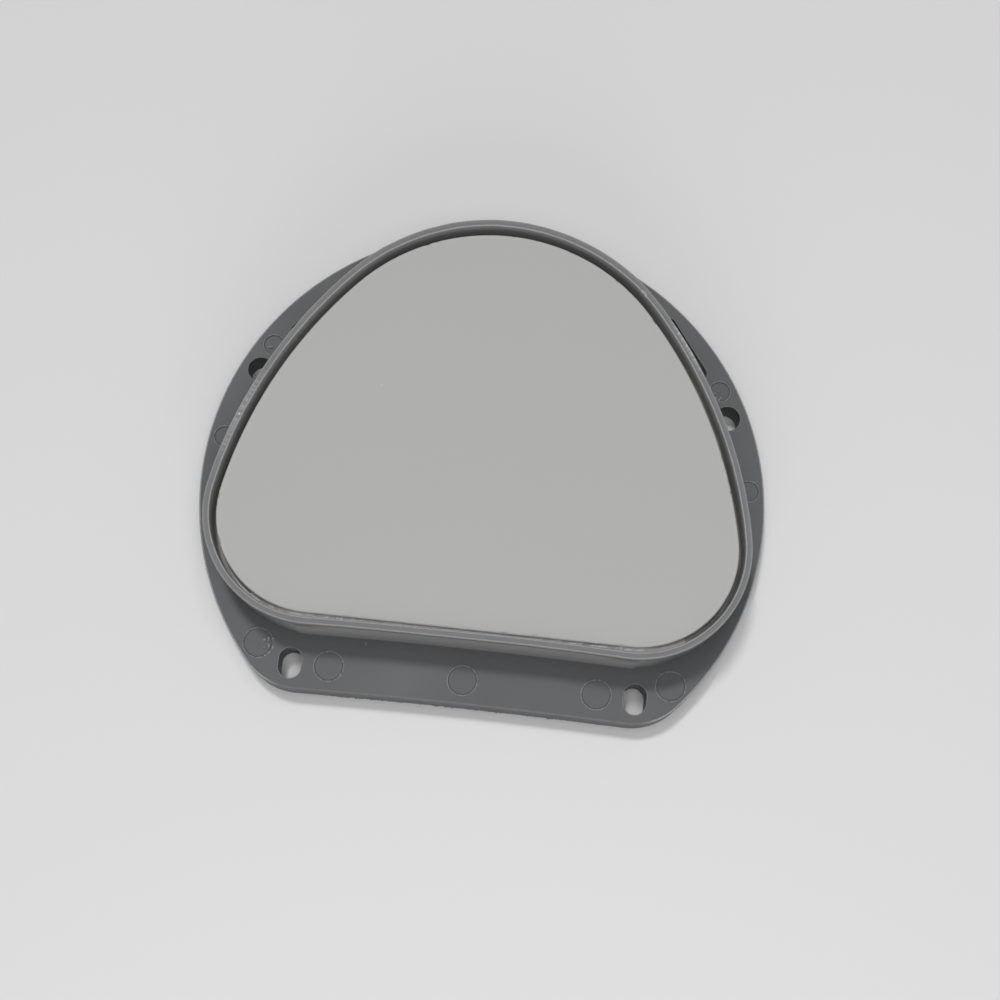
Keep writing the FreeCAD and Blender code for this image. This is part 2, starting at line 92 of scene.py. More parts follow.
class DISC_HolderSettings(bpy.types.PropertyGroup):
    """Sizes and colour of the moulded holder."""

    flange: metres(6.5, "Flange", "Thickness of the flange that the machine clamps")
    flange_radius: metres(49.8, "Flange radius", "Radius of the flange's round part")
    flange_front: metres(36.4, "Flange front", "Middle of the disc to the flange's front edge")
    flange_corner: metres(11.0, "Flange corner", "Radius of the flange's two front corners")
    hollow: metres(1050.0, "Front hollow", "Radius of the very flat hollow of the front")
    wall: metres(0.9, "Wall", "Thickness of the ring wall")
    rim: metres(1.2, "Rim", "Width of the rim on top of the wall")
    rim_height: metres(1.7, "Rim height", "Height of the rim")
    rim_rounding: metres(0.2, "Rim rounding", "Rounding of the rim's two upper edges")
    rim_dish: metres(0.03, "Rim dish", "How far the middle of the rim's top sinks")
    pad: metres(1.12, "Pad", "Inner face of the wall to the face of the front pad")
    pad_end: metres(29.2, "Pad end", "Middle of the disc to the end of the front pad")
    foot: metres(0.14, "Foot fillet", "Fillet where the wall stands on the flange")
    shade: colour((0.074, 0.078, 0.084), "Plastic", "Colour of the moulded plastic")
    # painted light: this colour lightens the rim, the pad and the inner face, standing in for the light
    # that falls on them
    pale: colour((0.285, 0.283, 0.279), "Pale plastic", "Colour of the rim, the pad and the inner face")
    # this colour lightens rubbed edges and flash, and paints highlights on rounded edges, chamfers and
    # flash
    worn_and_highlit: colour((0.5, 0.503, 0.505), "Worn edge", "Colour where an edge is rubbed or has flash")
    seed: IntProperty(name="Seed", description="Start of the random draws for the flaws", default=7)


class DISC_BlankSettings(bpy.types.PropertyGroup):
    """Sizes and colour of the zirconia block."""

    half_front: metres(27.4, "Corner centre", "Half the length of the block's straight front")
    corner_y: metres(-8.1, "Corner depth", "Place of the corner arcs' centres")
    apex_y: metres(11.0, "Apex depth", "Place of the apex arc's centre")
    corner: metres(17.1, "Corner radius", "Radius of the two front corners")
    side: metres(79.6, "Side radius", "Radius of the two long sides")
    apex: metres(34.0, "Apex radius", "Radius of the apex")
    broken: metres(0.25, "Broken edge", "Width of the broken edge of both faces")
    side_gap: metres(1.0, "Side gap", "Block to wall at the sides")
    front_gap: metres(0.85, "Front gap", "Block to wall in front")
    apex_gap: metres(1.2, "Apex gap", "Block to wall at the apex")
    shade: colour((0.44, 0.438, 0.432), "Zirconia", "Colour of the pressed block")
    seed: IntProperty(name="Seed", description="Start of the random draws for the chips", default=11)


class DISC_BondSettings(bpy.types.PropertyGroup):
    """The adhesive between block and wall."""

    sag: metres(0.5, "Sag", "How far the middle of the adhesive's top sinks")
    sink: metres(3.4, "Sink", "How much deeper the adhesive lies at the sides and the apex")
    bead: metres(17.45, "Bead", "Height of the bead that was pressed out along the front")
    shade: colour((0.27, 0.266, 0.257), "Adhesive", "Colour of the cured adhesive")


class DISC_StageSettings(bpy.types.PropertyGroup):
    """Camera, lights and floor."""

    eye: FloatVectorProperty(name="Camera", description="Place of the camera", unit="LENGTH",
                             subtype="TRANSLATION", default=(0.00633, -0.07374, 0.33293))
    aim: FloatVectorProperty(name="Aim", description="Point in the middle of the picture", unit="LENGTH",
                             subtype="TRANSLATION", default=(0.00305, 0.00160, 0.0))
    roll: FloatProperty(name="Roll", description="Turn of the camera about its own axis",
                        subtype="ANGLE", unit="ROTATION", default=math.radians(3.62))
    lens: FloatProperty(name="Lens", description="Focal length on a 36 mm sensor", default=68.4,
                        unit="CAMERA")
    key: light_share(0.32, "Key", "the lamp behind gives")
    front: light_share(0.1, "Front", "the low lamp in front gives")
    above: light_share(0.29, "Above", "the wide lamp above gives")
    glint: light_share(0.04, "Glint", "the small lamp behind gives")
    fill: light_share(0.18, "Fill", "comes from all round")
    floor: colour((0.78, 0.78, 0.78), "Floor", "Colour of the floor")


def in_mm(group):
    """The group's lengths in millimetres, by name."""
    return {name: getattr(group, name) / MM for name, kind in group.bl_rna.properties.items()
            if kind.type == "FLOAT" and not kind.is_array and kind.unit == "LENGTH"}


def arc_line(centre, radius, first, last, count, hollow=False):
    """Points and outward normals of an arc: centre plus radius times (cos t, sin t), t from first to last.

    The last point is left out, because the next arc begins there. The normals of a hollow arc point
    to its centre.
    """
    turn = first + (last - first) * np.arange(count) / count
    ray = np.stack([np.cos(turn), np.sin(turn)], axis=1)
    return np.asarray(centre) + radius * ray, -ray if hollow else ray


def joined(pieces):
    """Arcs set end to end as one closed loop: its points and its normals."""
    points, normals = zip(*pieces)
    return np.concatenate(points), np.concatenate(normals)


def triangle_line(blank, grow=0.0, front=0.0, apex=0.0, hollow=None):
    """The rounded triangle, from its front's left end and round to the right.

    Front, corner, side, apex, side and corner run tangent into each other. A side's centre lies
    side - corner from the corner's centre and side - apex from the apex's centre.
    """
    corner_radius, side_radius, apex_radius = (blank[name] + grow for name in ("corner", "side", "apex"))
    corner = np.array([blank["half_front"], blank["corner_y"] - front + grow])
    top = np.array([0.0, blank["apex_y"] + apex - grow])
    near, far = side_radius - corner_radius, side_radius - apex_radius
    span = np.linalg.norm(top - corner)
    forward = (top - corner) / span
    along = (near ** 2 - far ** 2 + span ** 2) / (2 * span)
    across = math.sqrt(near ** 2 - along ** 2)
    middle = corner + along * forward + across * np.array([-forward[1], forward[0]])
    low = math.atan2(*(corner - middle)[::-1])
    high = math.atan2(*(top - middle)[::-1])
    tilt = math.asin(corner[0] / (hollow + blank["corner"])) if hollow else 0.0
    left_corner, left_middle = corner * (-1, 1), middle * (-1, 1)
    count_front, count_corner, count_side, count_apex = ALONG
    if hollow:
        drop = (hollow + blank["corner"]) * math.cos(tilt)
        base = arc_line((0, corner[1] - drop), hollow - grow, QUARTER + tilt, QUARTER - tilt,
                        count_front, hollow=True)
    else:
        x = np.linspace(-corner[0], corner[0], count_front, endpoint=False)
        base = (np.stack([x, np.full_like(x, corner[1] - corner_radius)], axis=1),
                np.tile([0.0, -1.0], (count_front, 1)))
    return joined([
        base,
        arc_line(corner, corner_radius, -QUARTER - tilt, low, count_corner),
        arc_line(middle, side_radius, low, high, count_side),
        arc_line(top, apex_radius, high, HALF_TURN - high, count_apex),
        arc_line(left_middle, side_radius, HALF_TURN - high, HALF_TURN - low, count_side),
        arc_line(left_corner, corner_radius, HALF_TURN - low, 3 * QUARTER + tilt, count_corner),
    ])


def wall_line(blank, holder):
    """The wall's inner face in plan: the block's outline grown by the gaps, with a hollow front."""
    return triangle_line(blank, blank["side_gap"], blank["front_gap"], blank["apex_gap"], holder["hollow"])


def flange_line(holder):
    """The flange in plan: a circle, two rounded corners and a flat hollow front edge."""
    radius, corner, hollow = (holder[name] for name in ("flange_radius", "flange_corner", "hollow"))
    hollow_y = -holder["flange_front"] - hollow
    near, far = radius - corner, hollow + corner
    corner_y = (near ** 2 - far ** 2 + hollow_y ** 2) / (2 * hollow_y)
    corner_x = math.sqrt(near ** 2 - corner_y ** 2)
    out = math.atan2(corner_y, corner_x)
    down = math.atan2(hollow_y - corner_y, -corner_x)
    lean = math.atan2(corner_y - hollow_y, corner_x)
    count_round, count_corner, count_front = FLANGE_ALONG
    return joined([
        arc_line((0, 0), radius, out, HALF_TURN - out, count_round),
        arc_line((-corner_x, corner_y), corner, HALF_TURN - out, HALF_TURN - down, count_corner),
        arc_line((0, hollow_y), hollow, HALF_TURN - lean, lean, count_front, hollow=True),
        arc_line((corner_x, corner_y), corner, down, out, count_corner),
    ])


def circle_line(x, y, radius, count=72):
    """A full circle."""
    return arc_line((x, y), radius, 0.0, 2 * HALF_TURN, count)


def spun(points, turn):
    """Points turned about the origin."""
    cosine, sine = math.cos(turn), math.sin(turn)
    return np.asarray(points) @ np.array([[cosine, sine], [-sine, cosine]])


def oblong_line(x, y, half_width, half_length, radius, turn=0.0, count=12):
    """A rectangle with rounded corners, its long side along Y before the turn."""
    inner_x, inner_y = half_width - radius, half_length - radius
    corners = [(inner_x, inner_y), (-inner_x, inner_y), (-inner_x, -inner_y), (inner_x, -inner_y)]
    steps = QUARTER * np.arange(count + 1) / count
    turns = np.concatenate([steps + QUARTER * number for number in range(4)])
    ray = np.stack([np.cos(turns), np.sin(turns)], axis=1)
    points = np.repeat(np.array(corners), count + 1, axis=0) + radius * ray
    # two corners that meet share a point
    keep = np.linalg.norm(points - np.roll(points, -1, axis=0), axis=1) > WELD / MM
    return spun(points[keep], turn) + (x, y), spun(ray[keep], turn)


def turned(offset, height, radius, degrees):
    """An arc in a profile, row by row: its middle plus radius times cosine and sine of each angle."""
    angles = np.radians(degrees)
    return ([offset + radius * math.cos(angle) for angle in angles],
            [height + radius * math.sin(angle) for angle in angles])


def carried(line, offsets, heights):
    """A profile carried along a line: point = line + offset times normal, at its height.

    Offsets and heights are one number a row, or one a row and point where the profile changes.
    """
    points, normals = line
    offsets, heights = np.broadcast_arrays(
        *(np.asarray(part, float).reshape(len(part), -1) for part in (offsets, heights)))
    flat = points[None] + offsets[..., None] * normals[None]
    return np.concatenate([flat, np.broadcast_to(heights[..., None], flat.shape[:2] + (1,))], axis=2)


def smooth(value, low, high):
    """0 below low, 1 above high, 3t^2 - 2t^3 between."""
    t = np.clip((value - low) / (high - low), 0.0, 1.0)
    return t * t * (3 - 2 * t)


def ripple(count, rng, low, high, size):
    """A periodic waver along a loop: a sum of sines of low to high turns, in random phase."""
    turns = np.arange(low, high)
    phase = rng.uniform(0, 2 * HALF_TURN, len(turns))
    weight = rng.normal(0, 1, len(turns)) / np.sqrt(len(turns))
    place = 2 * HALF_TURN * np.arange(count) / count
    return size * (np.sin(place[:, None] * turns + phase) * weight).sum(axis=1)


def inside(points, loop):
    """Which points lie inside the closed loop: an odd number of its edges cross the line to the right."""
    ahead = np.roll(loop, -1, axis=0)
    x, y = points[:, :1], points[:, 1:]
    straddles = (loop[:, 1] > y) != (ahead[:, 1] > y)
    rise = ahead[:, 1] - loop[:, 1]
    crossing = loop[:, 0] + (y - loop[:, 1]) * (ahead[:, 0] - loop[:, 0]) / np.where(rise == 0, 1, rise)
    return (straddles & (x < crossing)).sum(axis=1) % 2 == 1


class Skin:
    """Grids and flat fields that are gathered in millimetres and welded into one closed mesh."""

    def __init__(self):
        self.points, self.faces, self.count = [], [], 0
        self.masks = {name: [] for name in MASKS}

    def add(self, points, faces, **masks):
        """Takes in points, the faces between them and the masks' values at the points."""
        points = np.asarray(points, float).reshape(-1, 3)
        self.points.append(points)
        self.faces += (np.asarray(faces) + self.count).tolist()
        for name, parts in self.masks.items():
            parts.append(np.broadcast_to(masks.get(name, 0.0), len(points)))
        self.count += len(points)

    def band(self, grid, **masks):
        """A grid of rows whose last column joins the first; a mask is one number a row, or one a point."""
        rows, columns = grid.shape[:2]
        row, column = np.meshgrid(np.arange(rows - 1) * columns, np.arange(columns), indexing="ij")
        beside = (column + 1) % columns
        quads = np.stack([row + column, row + beside, row + columns + beside, row + columns + column],
                         axis=-1)
        spread = {name: np.broadcast_to(np.reshape(value, (-1, 1)) if np.ndim(value) == 1 else value,
                                        (rows, columns)).reshape(-1) for name, value in masks.items()}
        self.add(grid, quads.reshape(-1, 4), **spread)

    def cap(self, ring, **masks):
        """Closes a ring with triangles to the middle of its points."""
        count = len(ring)
        index = np.arange(count)
        middle = ring.mean(axis=0, keepdims=True)
        self.add(np.concatenate([ring, middle]),
                 np.stack([index, (index + 1) % count, np.full(count, count)], axis=1), **masks)

    def rod(self, grid, **masks):
        """A band closed at both ends, each mask one number all over."""
        self.band(grid, **masks)
        self.cap(grid[0], **masks)
        self.cap(grid[-1], **masks)

    def field(self, height, outer, inner):
        """A level field between an outer loop and the loops inside it."""
        loops = [outer] + inner
        starts = np.cumsum([0] + [len(loop) for loop in loops])
        edges = [(int(start + i), int(start + (i + 1) % len(loop)))
                 for start, loop in zip(starts, loops) for i in range(len(loop))]
        flat, _, triangles, *_ = delaunay_2d_cdt(
            [Vector(point) for point in np.concatenate(loops)], edges, [], 0, 1e-7)
        flat = np.array([tuple(point) for point in flat])
        triangles = np.array(triangles)
        middles = flat[triangles].mean(axis=1)
        wanted = inside(middles, outer)
        for loop in inner:
            wanted &= ~inside(middles, loop)
        self.add(np.column_stack([flat, np.full(len(flat), height)]), triangles[wanted])

    def flatten(self, mesh):
        """Shades the level faces flat, so that their normals don't lean at the edges."""
        normals = np.empty(len(mesh.polygons) * 3, np.float32)
        mesh.polygons.foreach_get("normal", normals)
        level = np.abs(normals[2::3]) > 0.99999
        mesh.polygons.foreach_set("use_smooth", ~level)
        corners = np.empty(len(mesh.loops), np.int32)
        mesh.loops.foreach_get("edge_index", corners)
        sizes = np.empty(len(mesh.polygons), np.int32)
        mesh.polygons.foreach_get("loop_total", sizes)
        sharp = np.zeros(len(mesh.edges), bool)
        mesh.edges.foreach_get("use_edge_sharp", sharp)
        sharp[corners[np.repeat(level, sizes)]] = True
        mesh.edges.foreach_set("use_edge_sharp", sharp)

    def finish(self, name, material, node=None, slot=None):
        """Makes the object in metres: welds it, points its faces outwards, lets it ride and names it."""
        mesh = bpy.data.meshes.new(name)
        mesh.from_pydata((np.concatenate(self.points) * MM).tolist(), [], self.faces)
        mesh.polygons.foreach_set("use_smooth", np.ones(len(mesh.polygons), bool))
        for mask, parts in self.masks.items():
            values = mesh.attributes.new(mask, "FLOAT", "POINT")
            values.data.foreach_set("value", np.concatenate(parts).astype(np.float32))
        build = bmesh.new()
        build.from_mesh(mesh)
        bmesh.ops.remove_doubles(build, verts=build.verts, dist=WELD)
        bmesh.ops.dissolve_degenerate(build, edges=build.edges, dist=WELD / 4)
        bmesh.ops.delete(build, geom=[vert for vert in build.verts if not vert.link_faces], context="VERTS")
        open_edges = sum(not edge.is_manifold for edge in build.edges)
        if open_edges:
            raise RuntimeError(f"{name}: {open_edges} edges are open or shared by three faces")
        bmesh.ops.recalc_face_normals(build, faces=build.faces)
        build.to_mesh(mesh)
        build.free()
        mesh.set_sharp_from_angle(angle=SHARP)
        self.flatten(mesh)
        mesh.materials.append(material)
        piece = bpy.data.objects.new(name, mesh)
        bpy.context.scene.collection.objects.link(piece)
        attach(piece, "root")
        if node:
            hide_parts(node)
        return piece


def edge_break(height, size, down=True):
    """A softly broken corner in a profile, from the level face to the upright one."""
    out, along = size * np.array([(1.0, 0.45, 0.12, 0.0), (0.0, 0.08, 0.35, 1.0)])
    return np.stack([out, height - along if down else height + along])


# x, y of the right half's hollows; the left half mirrors them
SCREW_HOLE, SCREW_RADIUS = (41.9009, 19.3), 2.2
SLOT = (29.9059, -32.4)
WINDOW_MIDDLE, WINDOW_SHIFT, WINDOW_TURN = 44.9247, 5.5, math.radians(36.5)
# half width, half length and corner radius
SLOT_SIZE, WINDOW_SIZE = (2.0, 2.65, 2.0), (1.6, 6.5, 1.2)
# x, y and radius of the right half's pin marks, and of the middle one
MARKS = ((35.8566, -29.5, 2.45), (23.2059, -32.3, 2.45), (40.1086, 24.1, 1.75), (46.6048, 6.4, 1.75))
MIDDLE_MARK = (0.0, -32.3, 2.45)
# rows of a pin mark, from the foot of its flash to its sunk face
MARK_OFFSETS = (0.36, 0.28, 0.2, 0.12, 0.05, 0.0, -0.03, -0.1)
MARK_HEIGHTS = (0.0, 0.02, 0.05, 0.07, 0.06, -0.02, -0.11, -0.15)
# a mark's flash is lightened by its height: partly wear, partly a painted highlight
FLASH_WEAR_AND_HIGHLIGHT = 9.0  # wear of a millimetre of a mark's flash
# offset, height and wear of the rows of flash round a slot; the wear also paints a highlight on the flash
SLOT_FLASH = ((0.17, 0.0, 0.0), (0.14, 0.03, 0.4), (0.1, 0.07, 0.6), (0.06, 0.08, 0.6),
              (0.02, 0.06, 0.4), (0.0, 0.0, 0.1), (0.0, -0.3, 0.0))
HOLE_BREAK, LIP_BREAK = 0.14, 0.12
EDGE_ROUNDING, EDGE_CHAMFER, EDGE_LEVELS = 0.3, 0.4, (4.6, 3.2, 1.8)
# rows up the wall's inner face, and down its outer face with how far the pad's painted light is gone there,
# which paints shade under the rim
INNER_LEVELS = (3.0, 9.0, 15.0, 16.5, 17.6)
OUTER_LEVELS = ((16.6, 0.9), (15.9, 0.8), (15.2, 0.45), (14.5, 0.15), (13.6, 0.0), (10.5, 0.0), (7.2, 0.0))
# x, y and reach of the rim's shiny stretches; by the second a glint is also painted
SHINY_STRETCHES = ((-42.7, 7.5, 8.0), (32.5, 27.6, 5.0))
# the pit on the rim, and the painted highlight ring round it
RIM_PIT, PIT_DEPTH, PIT_RADIUS = (24.1, 36.5), 0.24, 0.3
PIT_RING_HIGHLIGHT, RING_RADIUS, RING_WIDTH = 0.6, 0.5, 0.17
# chips along each edge of the block, and heights of the rows down its side
CHIPS, SIDE_LEVELS = 46, (14.0, 9.0, 4.0)
# rows of the bond's top and underside, and how far its top wavers and starts below the solid's
BOND_TOP_ROWS, BOND_FOOT_ROWS, BOND_PLAY = 9, 5, 0.25
BOND_SEED, FLAW_SEED = 5, 23
# the fin: half its length, its least reach and what its tongues add
FIN_HALF, FIN_REACH, FIN_TONGUE = 26.5, 0.04, 0.2
# x, y, half length, half width and turn in degrees of each flake, and the points round it
FLAKES = ((-34.8, -28.9, 0.3, 0.24, 40), (-34.1, -28.6, 0.42, 0.26, 78), (-33.4, -28.5, 0.26, 0.18, 15),
          (-33.9, -29.8, 0.4, 0.24, 110), (-33.2, -30.1, 0.3, 0.2, 60), (-33.7, -31.0, 0.36, 0.22, 50),
          (-34.3, -31.6, 0.26, 0.2, 0), (-34.6, -30.2, 0.2, 0.15, 0), (-21.0, -33.5, 0.4, 0.13, -60),
          (-20.9, -31.2, 0.3, 0.11, 70), (-40.7, 23.6, 0.6, 0.2, 5), (38.9, 23.4, 0.6, 0.22, 50),
          (39.5, 22.8, 0.4, 0.2, 110), (40.2, 22.7, 0.55, 0.2, 55), (-17.3, -27.75, 0.1, 0.4, 4))
FLAKE_POINTS = 28
# share of a flake's outline and height over the flange, ring by ring
FLAKE_RINGS = ((0.9, -0.2), (1.0, 0.02), (0.9, 0.07), (0.6, 0.12), (0.3, 0.14))
DUST = (0.42, 0.42, 0.41)
# the way to the key lamp and how wide it looks; name, place and width of the square lamps, in metres
KEY_TOWARDS, KEY_SPREAD = (-0.159, 0.285, 1.0), math.radians(7)
LAMPS = (("front", (0.03, -0.42, 0.22), 0.3), ("above", (0.02, -0.10, 0.60), 0.3),
         ("glint", (0.114, 0.344, 1.00), 0.07))
SENSOR, NEAREST, FARTHEST = 36.0, 0.01, 60.0  # the camera's sensor in millimetres and reach in metres
FLOOR_REACH, FLOOR_BELOW = 30.0, 5e-5


def mirrored(line):
    """The same loop on the left, still running the same way round."""
    return tuple((part * (-1, 1))[::-1] for part in line)


def wall_profile(holder, blank, line, rng):
    """The wall's section all along: up the inner face, over the rim, down outside and out to the flange.

    Offsets are from the inner face. On the front the outer face comes forward to the pad; past the
    ends of the straight front the pad stays plane, so its offset grows as 1 over the cosine, and it
    then dies into the wall. The whole wall leans in and out a little, more the higher it is.
    """
    points, normals = line
    count, reach = len(points), np.abs(points[:, 0])
    top, foot_level = HOLDER_HIGH.z / MM, holder["flange"]
    rim, rounding, foot, pad_end = (holder[name] for name in ("rim", "rim_rounding", "foot", "pad_end"))
    under = top - holder["rim_height"]
    corner = blank["corner"] + blank["side_gap"]
    plane = (corner + holder["pad"]) / np.clip(-normals[:, 1], 0.9, 1) - corner
    share = np.where(normals[:, 1] < -0.9, 1 - smooth(reach, pad_end - 0.5, pad_end + 0.7), 0.0)
    face = holder["wall"] + share * (np.minimum(plane, rim - 0.04) - holder["wall"])
    nib = np.clip((rim - face) / 2, 0.02, 0.12)  # radius of the two bends under the rim

    # two stretches of the rim are rubbed shiny, one at the left and one by the right window; by the window
    # a glint is also painted on the rim's outer rounding
    patches = [np.exp(-(((points - (x, y)) ** 2).sum(axis=1) / size ** 2) ** 2) for x, y, size in SHINY_STRETCHES]
    streaky = np.clip(0.5 + ripple(count, rng, 150, 500, 0.4), 0.0, 1.0)
    rubbed_and_highlit = np.clip(sum(patches), 0.0, 1.0) * streaky
    # painted light: past the pad's ends the pad's lighter colour dies away along the corners, and right
    # under the rim sooner, which paints shade under the rim's overhang
    painted_pad_light = np.where(normals[:, 1] < -0.5, 1 - smooth(reach, pad_end - 2.0, pad_end + 7.0), 0.0)
    painted_rim_shade = smooth(reach, 21.5, 28.0)
    # painted light: the inner face is lightened more along its sides
    painted_side_light = 0.6 * smooth(np.abs(normals[:, 0]), 0.55, 0.8)
    offsets, heights, masks = [], [], {name: [] for name in MASKS}

    def run(part, **values):
        """Takes in rows of offsets and heights, each a number or one a point, and their masks."""
        for offset, height in zip(*part):
            offsets.append(np.broadcast_to(offset, count))
            heights.append(np.broadcast_to(height, count))
            for name in MASKS:
                masks[name].append(np.broadcast_to(values.get(name, 0.0), count))

    run(edge_break(0.0, LIP_BREAK, down=False))
    # the inner face: painted light all up it, and more along the sides
    run(([0.0] * len(INNER_LEVELS), INNER_LEVELS), wear=painted_side_light, pale=1.0)
    # the rim's inner rounding: a painted highlight, and painted light over the rim's top
    run(turned(rounding, top - rounding, rounding, np.linspace(180, 90, 7)), wear=0.7, pale=0.5)
    land = np.linspace(-0.8, 0.8, 7)
    run((rim / 2 + (rim / 2 - rounding) * land, top - holder["rim_dish"] * (1 - land ** 2)),
        wear=0.06, pale=0.28, polish=rubbed_and_highlit)
    # the rim's outer rounding: a painted highlight all along, and a painted glint by the right window
    run(turned(rim - rounding, top - rounding, rounding, np.linspace(90, 0, 7)),
        wear=0.6 + 1.4 * patches[1] * streaky, pale=0.28, polish=rubbed_and_highlit)
    run(([rim] * 3, [top - rounding - 0.12, top - 0.8, under + 0.35]), wear=0.12, pale=0.22)
    run(turned(rim - nib, under + nib, nib, [0, -30, -60, -90]), wear=0.25, pale=0.1)
    run(turned(face + nib, under - nib, nib, [90, 120, 150, 180]))
    # down the outer face: the pad's painted light, taken away under the rim as painted shade
    for height, rim_shade in OUTER_LEVELS:
        run(([face], [height]), pale=0.08 + 0.75 * painted_pad_light * (1 - rim_shade * painted_rim_shade))
    run(turned(face + foot, foot_level + foot, foot, np.linspace(180, 270, 7)))
    offsets, heights = np.array(offsets), np.array(heights)
    lean = ripple(count, rng, 2, 9, 0.035) + ripple(count, rng, 14, 60, 0.012)
    offsets = offsets + lean * smooth(heights, foot_level + 1.0, top)
    sink = np.abs(ripple(count, rng, 2, 7, 0.03) + ripple(count, rng, 10, 45, 0.01))
    heights = heights - sink * smooth(heights, under, top)
    # the pit on the rim: a bell-shaped dent with a painted highlight ring
    x, y = (points[:, axis] + offsets * normals[:, axis] for axis in (0, 1))
    away, on_top = np.hypot(x - RIM_PIT[0], y - RIM_PIT[1]), heights > top - 0.4
    heights = heights - PIT_DEPTH * np.exp(-(away / PIT_RADIUS) ** 2) * on_top
    masks = {name: np.array(values) for name, values in masks.items()}
    masks["wear"] += PIT_RING_HIGHLIGHT * np.exp(-((away - RING_RADIUS) / RING_WIDTH) ** 2) * on_top
    return offsets, heights, masks


def pin_mark(skin, x, y, radius, level, rng):
    """An ejector pin's mark: a thin ragged ring of flash round a sunk round face.

    A polar grid; each ring is a circle of one radius at one height, and the flash's height wavers.
    """
    line = circle_line(x, y, radius)
    heights = np.array(MARK_HEIGHTS)[:, None]
    waver = 1 - np.clip(np.abs(ripple(len(line[0]), rng, 2, 24, 0.7)), 0, 0.9)
    flash = np.where(heights > 0, heights * waver, 0.0)
    grid = carried(line, MARK_OFFSETS, level + np.where(heights > 0, flash, heights))
    # the flash is lightened by its height: partly wear, partly a painted highlight
    skin.band(grid, wear=FLASH_WEAR_AND_HIGHLIGHT * flash)
    skin.cap(grid[-1])
    return grid[0, :, :2]


def through_hole(skin, line, level, flash, rng):
    """A hole down to the underside with broken edges, or with a thin ring of flash round its top.

    Returns its outlines above and below.
    """
    even = np.ones(len(line[0]))
    if flash:
        waver = 1 - np.clip(np.abs(ripple(len(even), rng, 2, 16, 0.45)), 0, 0.8)
        offsets, rises, wear = np.array(SLOT_FLASH).T
        heights = level + np.outer(rises, waver)
    else:
        offsets, levels = edge_break(level, HOLE_BREAK)
        # the broken edge's two middle rows are lightened: wear and a painted highlight
        heights, wear = np.outer(levels, even), (0.0, 0.6, 0.6, 0.0)
    foot = edge_break(0.0, HOLE_BREAK, down=False)[:, ::-1]
    grid = carried(line, np.concatenate([offsets, foot[0]]),
                   np.concatenate([heights, np.outer(foot[1], even)]))
    skin.band(grid, wear=np.concatenate([wear, 0 * foot[0]]))
    return grid[0, :, :2], grid[-1, :, :2]


class DISC_OT_holder(bpy.types.Operator):
    """Moulds the holder: flange, ring wall with its rim and pad, holes, slots, windows and pin marks"""

    bl_idname = "disc.holder"
    bl_label = "Moulded holder"

    def execute(self, context):
        settings = context.scene.disc_holder
        holder, blank = in_mm(settings), in_mm(context.scene.disc_blank)
        rng = np.random.default_rng(settings.seed)
        skin, level = Skin(), holder["flange"]

        line = wall_line(blank, holder)
        offsets, heights, masks = wall_profile(holder, blank, line, rng)
        wall = carried(line, offsets, heights)
        skin.band(wall, **masks)

        # the flange's edge, lightened by wear and a painted highlight on its rounding and on the corners of
        # its chamfer, less along the front
        edge, foot, rounding = flange_line(holder), EDGE_CHAMFER, EDGE_ROUNDING
        offsets, heights = turned(-rounding, level - rounding, rounding, np.linspace(90, 0, 7))
        offsets += [0.0] * 5 + [-0.03, -foot, -foot - 0.1]
        heights += [level - 0.42, *EDGE_LEVELS, foot + 0.12, foot, 0.03, 0.0]
        wear = np.array([0.0] + [1.0] * 6 + [0.15, 0.0, 0.0, 0.0, 0.0, 0.5, 0.5, 0.0])[:, None]
        rim = carried(edge, offsets, heights)
        skin.band(rim, wear=wear * (1 - 0.7 * smooth(-edge[1][:, 1], 0.9, 0.99)))

        above, below = [wall[-1, :, :2]], [wall[0, :, :2]]
        middle = spun((WINDOW_MIDDLE, WINDOW_SHIFT), WINDOW_TURN)
        window = oblong_line(*middle, *WINDOW_SIZE, turn=WINDOW_TURN)
        slot = oblong_line(*SLOT, *SLOT_SIZE, count=16)
        screw = circle_line(*SCREW_HOLE, SCREW_RADIUS)
        for shape, flash in ((screw, False), (window, False), (slot, True)):
            for sided in (shape, mirrored(shape)):
                top_loop, foot_loop = through_hole(skin, sided, level, flash, rng)
                above.append(top_loop)
                below.append(foot_loop)
        for mark in (*MARKS, *((-x, y, radius) for x, y, radius in MARKS), MIDDLE_MARK):
            above.append(pin_mark(skin, *mark, level, rng))
        skin.field(level, rim[0, :, :2], above)
        skin.field(0.0, rim[-1, :, :2], below)
        skin.finish("moulded_holder", finish_of(holder_plastic, settings), "holder", "holder_plastic")
        return {"FINISHED"}


